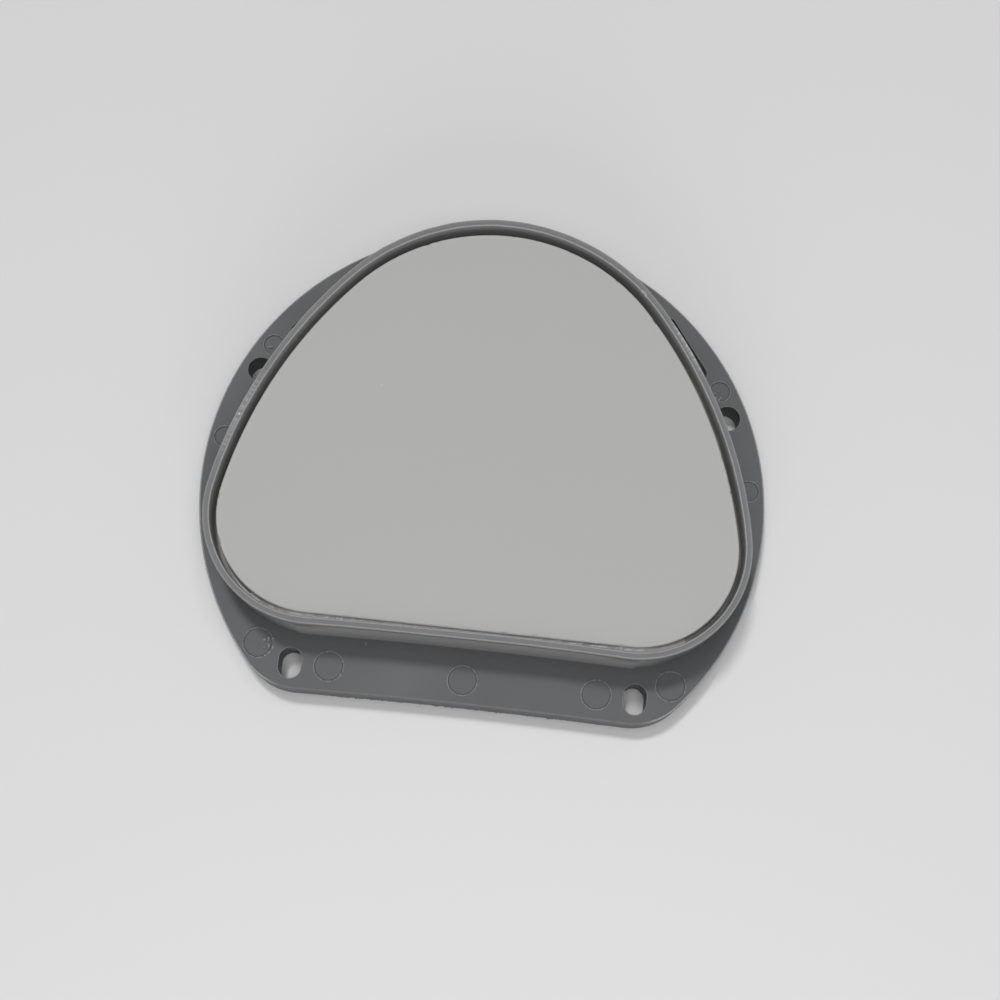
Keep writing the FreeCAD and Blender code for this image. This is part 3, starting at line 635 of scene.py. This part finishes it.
class DISC_OT_blank(bpy.types.Operator):
    """Presses the zirconia block: a rounded triangle with chalky faces and finely chipped edges"""

    bl_idname = "disc.blank"
    bl_label = "Zirconia block"

    def execute(self, context):
        settings = context.scene.disc_blank
        blank = in_mm(settings)
        rng = np.random.default_rng(settings.seed)
        line = triangle_line(blank)
        count = len(line[0])
        chips = [self.chips(count, rng) for face in ("upper", "lower")]
        nibble = np.abs(rng.normal(0, 0.03, (4, count)))
        inset, drop = self.edge(blank["broken"], chips[0], 0.18)
        foot_inset, rise = self.edge(blank["broken"], chips[1], 0.2)
        inset[0] += nibble[0]
        drop[2:] += nibble[1:3]
        rise[3] += nibble[3]
        sides = np.outer(SIDE_LEVELS, np.ones(count))
        body = carried(line, np.concatenate([-inset, 0 * sides, -foot_inset[::-1]]),
                       np.concatenate([BLANK_HIGH.z / MM - drop, sides, rise[::-1]]))
        skin = Skin()
        # the broken edges are lightened: partly chips, partly a painted highlight
        skin.band(body, wear=np.array([0.5, 1.0, 1.0, 0.4, 0.0, 0.0, 0.0, 0.4, 1.0, 1.0, 0.5]))
        # the faces: rings that shrink towards the middle, share by share
        shares = np.array([1.0, 0.994, 0.93, 0.8, 0.6, 0.35, 0.12])[:, None]
        for ring in (body[0], body[-1]):
            face = ring * np.stack([shares, shares, np.ones_like(shares)], axis=2)
            skin.band(face, wear=np.array([0.5] + [0.0] * 6))
            skin.cap(face[-1])
        skin.finish("zirconia_block", finish_of(zirconia, settings), "blank", "zirconia")
        return {"FINISHED"}

    def chips(self, count, rng):
        """Depths along an edge: the sum of its chips, each a bell of random place, width and depth."""
        where = rng.uniform(0, count, CHIPS)[:, None]
        width = rng.uniform(0.8, 3.2, CHIPS)[:, None]
        depth = (rng.uniform(0.2, 1.0, CHIPS) ** 3 * 0.2)[:, None]
        away = (np.arange(count) - where + count / 2) % count - count / 2
        return (depth * np.exp(-(away / width) ** 2)).sum(axis=0)

    def edge(self, broken, chips, slant):
        """Insets and drops of four rows from a face over its edge to the side.

        Each is a share of the broken edge's width plus a share of the chips' depth.
        """
        width = np.full_like(chips, broken)
        inset = np.outer((1.0, 0.55, 0.2, 0.0), width) + np.outer((1.0, 0.8, 0.45, 0.0), chips)
        drop = np.outer((0.0, slant, 0.6, 1.15), width) + np.outer((0.0, 0.35, 0.7, 1.0), chips)
        inset[0] += 0.1
        return inset, drop


class DISC_OT_bond(bpy.types.Operator):
    """Pours the adhesive between block and wall, with a sunk and slightly uneven top"""

    bl_idname = "disc.bond"
    bl_label = "Adhesive"

    def execute(self, context):
        settings = context.scene.disc_bond
        holder, blank, bond = (in_mm(group) for group in (context.scene.disc_holder,
                                                          context.scene.disc_blank, settings))
        rng = np.random.default_rng(BOND_SEED)
        near, far = triangle_line(blank)[0], wall_line(blank, holder)[0]
        low, high = BOND_LOW.z / MM, BOND_HIGH.z / MM
        waver = np.clip(ripple(len(near), rng, 3, 40, 0.22), -BOND_PLAY, BOND_PLAY)
        # a closed section: share of the way from block to wall, and height. The top dips by 1 less the
        # fourth power of the way from its middle
        there, back = np.linspace(0, 1, BOND_TOP_ROWS), np.linspace(1, 0, BOND_FOOT_ROWS)
        across = np.concatenate([there, back])[:, None]
        dip = 1 - (2 * across - 1) ** 4
        # it sinks from the front to the sides, and stands a little higher at the shoulders
        shoulder = np.exp(-((near[:, 1] - 22.0) / 12.0) ** 2)
        deep = smooth(near[:, 1], -24.0, -9.0) * (1 - 0.45 * shoulder) * bond["sink"]
        top = high - BOND_PLAY - bond["sag"] * dip + waver - deep
        height = np.where(np.arange(len(across))[:, None] < BOND_TOP_ROWS, top, low)
        grid = np.concatenate([near + (far - near) * across[..., None], height[..., None]], axis=2)
        skin = Skin()
        skin.band(np.concatenate([grid, grid[:1]]))
        material = finish_of(adhesive, settings)
        skin.finish("bond", material, "adhesive", "adhesive")
        self.bead(near, far, high, bond["bead"], rng).finish("bond_bead", material, slot="adhesive")
        return {"FINISHED"}

    def bead(self, near, far, bond_top, bead_top, rng):
        """The pressed-out bead: a closed section between block and wall, carried along the front.

        Its top hollows a little between its edges, and it sinks to the bond at both ends.
        """
        ends = ALONG[1] // 3
        pick = np.arange(-ends, ALONG[0] + ends)
        near, far = near[pick], far[pick]
        away = np.abs(np.linspace(-1, 1, len(pick)))
        waver = np.convolve(rng.normal(0, 0.16, len(pick)), np.hanning(9) / 4, mode="same")
        low = bond_top + 0.1
        top = low + (bead_top - low) * (1 - smooth(away, 0.78, 1.0)) + waver
        across = np.array([0.0, 0.2, 0.5, 0.8, 1.0, 1.0, 0.0])[:, None, None]
        bulge = np.array([0.1, 0.0, -0.06, 0.0, 0.12])[:, None]
        height = np.concatenate([top + bulge, np.full((2, len(pick)), bond_top - 1.2)])
        grid = np.concatenate([near + (far - near) * across, height[..., None]], axis=2).transpose(1, 0, 2)
        skin = Skin()
        skin.rod(grid)
        return skin


class DISC_OT_flash(bpy.types.Operator):
    """Leaves the moulding's flaws: ragged flash under the front edge and crumbs by the pin marks"""

    bl_idname = "disc.flash"
    bl_label = "Flash and crumbs"

    def execute(self, context):
        settings = context.scene.disc_holder
        holder, plastic = in_mm(settings), finish_of(holder_plastic, settings)
        rng = np.random.default_rng(FLAW_SEED)
        self.fin(holder, rng).finish("front_flash", plastic, slot="holder_plastic")
        self.crumbs(holder["flange"], rng).finish("mould_crumbs", plastic, slot="holder_plastic")
        return {"FINISHED"}

    def fin(self, holder, rng):
        """A thin fin along the lower front edge: a flat lens carried along it, its reach ragged."""
        hollow, count = holder["hollow"], 420
        x = np.linspace(-FIN_HALF, FIN_HALF, count)
        edge = -holder["flange_front"] - hollow + np.sqrt(hollow ** 2 - x ** 2)
        grain = np.abs(rng.normal(0, 1, (3, count)))
        for width, row in zip((3, 9, 27), grain):
            bell = np.hanning(width + 2)
            row[:] = np.convolve(row, bell[1:-1] / bell.sum(), mode="same")
        tongues = smooth((grain[0] + grain[1]) / 2, 0.5, 1.2) * smooth(grain[2], 0.55, 0.95)
        reach = (FIN_REACH + FIN_TONGUE * tongues) * smooth(np.abs(x), FIN_HALF, FIN_HALF - 2.5)
        reach = np.minimum(reach, edge - HOLDER_LOW.y / MM - 0.01)
        # share of the reach, and height over the underside
        section = np.array([(0.0, 0.42), (0.6, 0.5), (1.0, 0.56), (0.62, 0.64), (0.0, 0.75)])
        y = edge + 0.06 - section[:, :1] * (reach + 0.06)
        z = np.broadcast_to(section[:, 1:], y.shape)
        grid = np.stack([np.broadcast_to(x, y.shape), y, z], axis=2).transpose(1, 0, 2)
        skin = Skin()
        skin.rod(grid, wear=0.5)
        return skin

    def crumbs(self, level, rng):
        """Small flakes on the flange: ellipses whose radius wavers, crowned in the middle."""
        skin = Skin()
        turn = 2 * HALF_TURN * np.arange(FLAKE_POINTS) / FLAKE_POINTS
        for x, y, length, width, angle in FLAKES:
            rough = 1 + np.clip(ripple(FLAKE_POINTS, rng, 2, 4, 0.12), -0.2, 0.2)
            flat = np.column_stack([length * np.cos(turn) * rough, width * np.sin(turn) * rough])
            flat = spun(flat, math.radians(angle))
            rings = [np.column_stack([flat * share + (x, y), np.full(len(flat), level + rise)])
                     for share, rise in FLAKE_RINGS]
            # the flakes are lightened: partly the flakes' own colour, partly painted glints
            skin.rod(np.stack(rings), wear=0.65)
        return skin


def new_group(name, inputs, outputs):
    """An empty shader group, its inner inputs and its outputs; an input without a start is a vector."""
    tree = bpy.data.node_groups.new(name, "ShaderNodeTree")
    for label, start in inputs.items():
        kind = "NodeSocketVector" if start is None else "NodeSocketFloat"
        socket = tree.interface.new_socket(label, in_out="INPUT", socket_type=kind)
        if start is not None:
            socket.default_value = start
    for label in outputs:
        tree.interface.new_socket(label, in_out="OUTPUT", socket_type="NodeSocketFloat")
    return tree, tree.nodes.new("NodeGroupInput").outputs, tree.nodes.new("NodeGroupOutput").inputs


def feed(tree, socket, source):
    """Links another node's socket into this one, or sets this one to a number or a colour."""
    if isinstance(source, bpy.types.NodeSocket):
        tree.links.new(source, socket)
    else:
        socket.default_value = source


def put(tree, kind, sources=(), **values):
    """Adds a node, sets its properties and feeds its sockets by (socket, source) pairs."""
    node = tree.nodes.new(kind)
    for name, value in values.items():
        setattr(node, name, value)
    for socket, source in sources:
        feed(tree, node.inputs[socket], source)
    return node


def computed(tree, operation, first, second, clamp=False):
    """The value of a Math node."""
    return put(tree, "ShaderNodeMath", [(0, first), (1, second)], operation=operation,
               use_clamp=clamp).outputs[0]


def noise(tree, where, scale, detail, roughness=0.5):
    """The value of a noise pattern."""
    return put(tree, "ShaderNodeTexNoise", [("Vector", where), ("Scale", scale), ("Detail", detail),
                                            ("Roughness", roughness)]).outputs["Fac"]


def ranged(tree, value, interpolation="LINEAR", **ends):
    """A value taken from one range to another: From_Min and From_Max to To_Min and To_Max."""
    sources = [("Value", value)] + [(end.replace("_", " "), level) for end, level in ends.items()]
    return put(tree, "ShaderNodeMapRange", sources, interpolation_type=interpolation).outputs["Result"]


def face_grain(name):
    """Fine grain of a face: two noises, one three times finer, mixed. Puts out Height and a slow Cloud."""
    tree, start, end = new_group(name, {"Coordinates": None, "Scale": 4000.0, "Cloud Scale": 60.0},
                                 ("Height", "Cloud"))
    where, scale = start["Coordinates"], start["Scale"]
    coarse = noise(tree, where, scale, 3.0, 0.55)
    fine = noise(tree, where, computed(tree, "MULTIPLY", scale, 3.1), 2.0, 0.6)
    both = put(tree, "ShaderNodeMix", [("Factor", 0.4), ("A", coarse), ("B", fine)])
    cloud = noise(tree, where, start["Cloud Scale"], 4.0)
    feed(tree, end["Height"], both.outputs["Result"])
    feed(tree, end["Cloud"], ranged(tree, cloud, From_Min=0.3, From_Max=0.7))
    return tree


def edge_wear(name):
    """Edge wear and painted highlight: the mesh's own wear value times an amount, broken up by noise and
    clamped.
    """
    tree, start, end = new_group(
        name, {"Coordinates": None, "Wear": 0.0, "Scale": 900.0, "Amount": 0.5}, ("Mask",))
    patchy = ranged(tree, noise(tree, start["Coordinates"], start["Scale"], 4.0),
                    From_Min=0.3, From_Max=0.7, To_Min=0.55)
    worn_and_highlit = computed(tree, "MULTIPLY", start["Wear"], patchy)
    feed(tree, end["Mask"], computed(tree, "MULTIPLY", worn_and_highlit, start["Amount"], clamp=True))
    return tree


def dust_specks(name):
    """Dust specks: points of a Voronoi pattern, few of them kept by their random colour."""
    tree, start, end = new_group(
        name, {"Coordinates": None, "Scale": 400.0, "Share": 0.03, "Size": 0.08}, ("Mask",))
    cells = put(tree, "ShaderNodeTexVoronoi", [("Vector", start["Coordinates"]),
                                               ("Scale", start["Scale"])]).outputs
    parts = put(tree, "ShaderNodeSeparateColor", [("Color", cells["Color"])]).outputs
    kept = computed(tree, "LESS_THAN", parts["Red"], start["Share"])
    near = ranged(tree, cells["Distance"], "SMOOTHSTEP", From_Min=start["Size"], From_Max=0.0)
    feed(tree, end["Mask"], computed(tree, "MULTIPLY", kept, near))
    return tree


def grouped(tree, fill, **values):
    """Places a shader group in a material with its own values; the group is made when first asked for."""
    group = bpy.data.node_groups.get(fill.__name__) or fill(fill.__name__)
    sources = [(name.replace("_", " "), value) for name, value in values.items()]
    return put(tree, "ShaderNodeGroup", sources, node_tree=group).outputs


def blended(tree, share, first, second):
    """A mix of two colours or sockets by a mask."""
    first, second = ((*part, 1.0) if isinstance(part, tuple) else part for part in (first, second))
    return put(tree, "ShaderNodeMix", [("Factor", share), ("A", first), ("B", second)],
               data_type="RGBA").outputs["Result"]


def scaled(shade, share):
    """A colour made lighter or darker."""
    return tuple(min(part * share, 1.0) for part in shade)


def mesh_value(tree, name):
    """One of the mesh's own point values."""
    return put(tree, "ShaderNodeAttribute", attribute_name=name).outputs["Fac"]


def clouded_face(tree, shade, scale, cloud_scale, spread, rough):
    """What each finish starts from: coordinates, grain, a shade that clouds either way, roughness."""
    where = put(tree, "ShaderNodeTexCoord").outputs["Object"]
    grain = grouped(tree, face_grain, Coordinates=where, Scale=scale, Cloud_Scale=cloud_scale)
    clouded = blended(tree, grain["Cloud"], scaled(shade, 1 - spread), scaled(shade, 1 + spread))
    return where, grain, clouded, ranged(tree, grain["Cloud"], To_Min=rough[0], To_Max=rough[1])


def surfaced(tree, shade, roughness, grain, strength, depth):
    """Feeds the shader its colour, its roughness and a fine relief, its depth in millimetres."""
    bump = put(tree, "ShaderNodeBump", [("Height", grain["Height"]), ("Strength", strength),
                                        ("Distance", depth * MM)])
    shader = tree.nodes["Principled BSDF"].inputs
    sources = {"Base Color": shade, "Roughness": roughness, "Normal": bump.outputs["Normal"]}
    for socket, source in sources.items():
        feed(tree, shader[socket], source)


def finish_of(make, settings):
    """The material whose nodes a function makes from the settings, made when first asked for."""
    name = f"{make.__name__}_finish"
    material = bpy.data.materials.get(name)
    if material is None:
        material = bpy.data.materials.new(name)
        material.use_nodes = True
        make(material.node_tree, settings)
    return material


def holder_plastic(tree, settings):
    """Satin grey plastic: clouded tone, fine grain, painted light on rim, pad and inner face, edges
    lightened by wear and painted highlights, a little dust.
    """
    where, grain, clouded, satin = clouded_face(tree, settings.shade, 2600.0, 55.0, 0.08, (0.5, 0.6))
    wear, pale, polish = (mesh_value(tree, mask) for mask in MASKS)
    worn_and_highlit = grouped(tree, edge_wear, Coordinates=where, Wear=wear, Scale=2600.0, Amount=0.72)
    dust = grouped(tree, dust_specks, Coordinates=where, Scale=330.0, Share=0.05, Size=0.06)
    # painted light on the rim, the pad and the inner face; then edges lightened by wear and painted
    # highlights
    paled = blended(tree, pale, clouded, tuple(settings.pale))
    rubbed_and_highlit = blended(tree, worn_and_highlit["Mask"], paled, tuple(settings.worn_and_highlit))
    dusted = blended(tree, dust["Mask"], rubbed_and_highlit, DUST)
    shiny = put(tree, "ShaderNodeMix", [("Factor", polish), ("A", satin), ("B", 0.26)]).outputs["Result"]
    surfaced(tree, dusted, shiny, grain, 0.25, 0.06)


def zirconia(tree, settings):
    """Chalky pressed powder: nearly white and matt, faintly clouded, lighter on its broken edges by
    chipping and a painted highlight.
    """
    where, grain, clouded, chalky = clouded_face(tree, settings.shade, 5200.0, 38.0, 0.015, (0.6, 0.68))
    wear = mesh_value(tree, "wear")
    worn_and_highlit = grouped(tree, edge_wear, Coordinates=where, Wear=wear, Scale=2200.0, Amount=0.8)
    dust = grouped(tree, dust_specks, Coordinates=where, Scale=260.0, Share=0.06, Size=0.06)
    # broken edges lightened: partly chipping, partly a painted highlight
    chipped_and_highlit = blended(tree, worn_and_highlit["Mask"], clouded, scaled(settings.shade, 1.25))
    dusted = blended(tree, dust["Mask"], chipped_and_highlit, scaled(settings.shade, 1.4))
    surfaced(tree, dusted, chalky, grain, 0.3, 0.04)


def adhesive(tree, settings):
    """Cured adhesive: dull, clouded and a little glossy."""
    _, grain, clouded, dull = clouded_face(tree, settings.shade, 1500.0, 220.0, 0.15, (0.25, 0.5))
    surfaced(tree, clouded, dull, grain, 0.4, 0.1)


class DISC_OT_stage(bpy.types.Operator):
    """Sets the camera, the lamps, the light from all round and the pale floor"""

    bl_idname = "disc.stage"
    bl_label = "Stage"

    def execute(self, context):
        scene, settings = context.scene, context.scene.disc_stage
        scene.view_settings.view_transform = "Standard"
        self.camera(scene, settings)
        self.key(scene, Vector(KEY_TOWARDS), settings.key)
        for name, place, width in LAMPS:
            self.lamp(scene, name, Vector(place), width, getattr(settings, name))
        self.surroundings(scene, settings)
        self.floor(scene, settings)
        return {"FINISHED"}

    def camera(self, scene, settings):
        """Looks from the eye to the aim; the roll turns the picture about that line."""
        data = bpy.data.cameras.new("camera")
        data.lens, data.sensor_width = settings.lens, SENSOR
        data.clip_start, data.clip_end = NEAREST, FARTHEST
        camera = bpy.data.objects.new("camera", data)
        scene.collection.objects.link(camera)
        ahead = (Vector(settings.aim) - Vector(settings.eye)).normalized()
        level = ahead.cross(Vector((0, 0, 1))).normalized()
        upright = level.cross(ahead)
        right = level * math.cos(settings.roll) + upright * math.sin(settings.roll)
        turned_axes = Matrix((right, right.cross(ahead), -ahead)).transposed()
        camera.matrix_world = Matrix.Translation(settings.eye) @ turned_axes.to_4x4()
        scene.camera = camera

    def light(self, scene, name, kind, place):
        """A new lamp that faces the disc from its place; returns its data."""
        data = bpy.data.lights.new(name, kind)
        lamp = bpy.data.objects.new(name, data)
        scene.collection.objects.link(lamp)
        lamp.matrix_world = Matrix.Translation(place) @ place.to_track_quat("Z", "Y").to_matrix().to_4x4()
        return data

    def lamp(self, scene, name, place, width, share):
        """A square lamp; its power gives a level face that share of a full white.

        A small lamp of power W lights a face at right angles by W over pi d squared, and a full white
        takes pi.
        """
        data = self.light(scene, name, "AREA", place)
        data.shape, data.size = "SQUARE", width
        data.energy = share * math.pi ** 2 * place.length ** 3 / place.z

    def key(self, scene, towards, share):
        """The key lamp, so far away that its light is parallel and reaches the whole floor.

        Its strength lights a face at right angles, a level face takes that times the cosine of its
        slant, and a full white takes pi.
        """
        data = self.light(scene, "key", "SUN", towards)
        data.angle = KEY_SPREAD
        data.energy = share * math.pi * towards.length / towards.z

    def surroundings(self, scene, settings):
        """Even light from all round; the camera and gloss see it as light as the far floor."""
        world = bpy.data.worlds.new("surroundings")
        scene.world = world
        world.use_nodes = True
        tree = world.node_tree
        light = tree.nodes["Background"]
        feed(tree, light.inputs["Color"], WHITE)
        feed(tree, light.inputs["Strength"], settings.fill)
        far_floor = (settings.key + settings.fill) * settings.floor[0]
        shown = put(tree, "ShaderNodeBackground", [("Color", WHITE), ("Strength", far_floor)])
        path = put(tree, "ShaderNodeLightPath").outputs
        glossy = computed(tree, "MAXIMUM", path["Is Glossy Ray"], path["Is Transmission Ray"])
        seen = computed(tree, "MAXIMUM", path["Is Camera Ray"], glossy)
        mix = put(tree, "ShaderNodeMixShader", [(0, seen), (1, light.outputs[0]), (2, shown.outputs[0])])
        feed(tree, tree.nodes["World Output"].inputs["Surface"], mix.outputs[0])

    def floor(self, scene, settings):
        """A large level sheet just under the disc: a grid of two by two points."""
        ends = [-FLOOR_REACH, FLOOR_REACH]
        x, y = (axis.ravel() for axis in np.meshgrid(ends, ends))
        mesh = bpy.data.meshes.new("floor")
        mesh.from_pydata(np.column_stack([x, y, np.full(4, -FLOOR_BELOW)]).tolist(), [], [(0, 1, 3, 2)])
        material = bpy.data.materials.new("floor_finish")
        material.use_nodes = True
        shader = material.node_tree.nodes["Principled BSDF"].inputs
        shader["Base Color"].default_value = (*settings.floor, 1.0)
        shader["Roughness"].default_value = 0.9
        shader["Specular IOR Level"].default_value = 0.1
        mesh.materials.append(material)
        floor = bpy.data.objects.new("floor", mesh)
        scene.collection.objects.link(floor)


class DISC_PT_panel(bpy.types.Panel):
    """Lists the disc's pieces and their settings"""

    bl_idname = "DISC_PT_panel"
    bl_label = "Milling disc"
    bl_space_type = "VIEW_3D"
    bl_region_type = "UI"
    bl_category = "Milling disc"

    def draw(self, context):
        for maker in MAKERS:
            self.layout.operator(maker.bl_idname, text=maker.bl_label)
        for name in SETTINGS:
            box = self.layout.box()
            group = getattr(context.scene, name)
            for setting in group.bl_rna.properties.keys():
                if setting not in ("rna_type", "name"):
                    box.prop(group, setting)


MAKERS = (DISC_OT_stage, DISC_OT_holder, DISC_OT_blank, DISC_OT_bond, DISC_OT_flash)
SETTINGS = {
    "disc_holder": DISC_HolderSettings,
    "disc_blank": DISC_BlankSettings,
    "disc_bond": DISC_BondSettings,
    "disc_stage": DISC_StageSettings,
}


def register():
    for kind in (*SETTINGS.values(), *MAKERS, DISC_PT_panel):
        bpy.utils.register_class(kind)
    for name, kind in SETTINGS.items():
        setattr(bpy.types.Scene, name, PointerProperty(type=kind))


def unregister():
    for name in SETTINGS:
        delattr(bpy.types.Scene, name)
    for kind in (DISC_PT_panel, *MAKERS[::-1], *list(SETTINGS.values())[::-1]):
        bpy.utils.unregister_class(kind)


def main():
    register()
    bpy.ops.disc.stage()
    bpy.ops.disc.holder()
    bpy.ops.disc.blank()
    bpy.ops.disc.bond()
    bpy.ops.disc.flash()


if __name__ == "__main__":
    main()
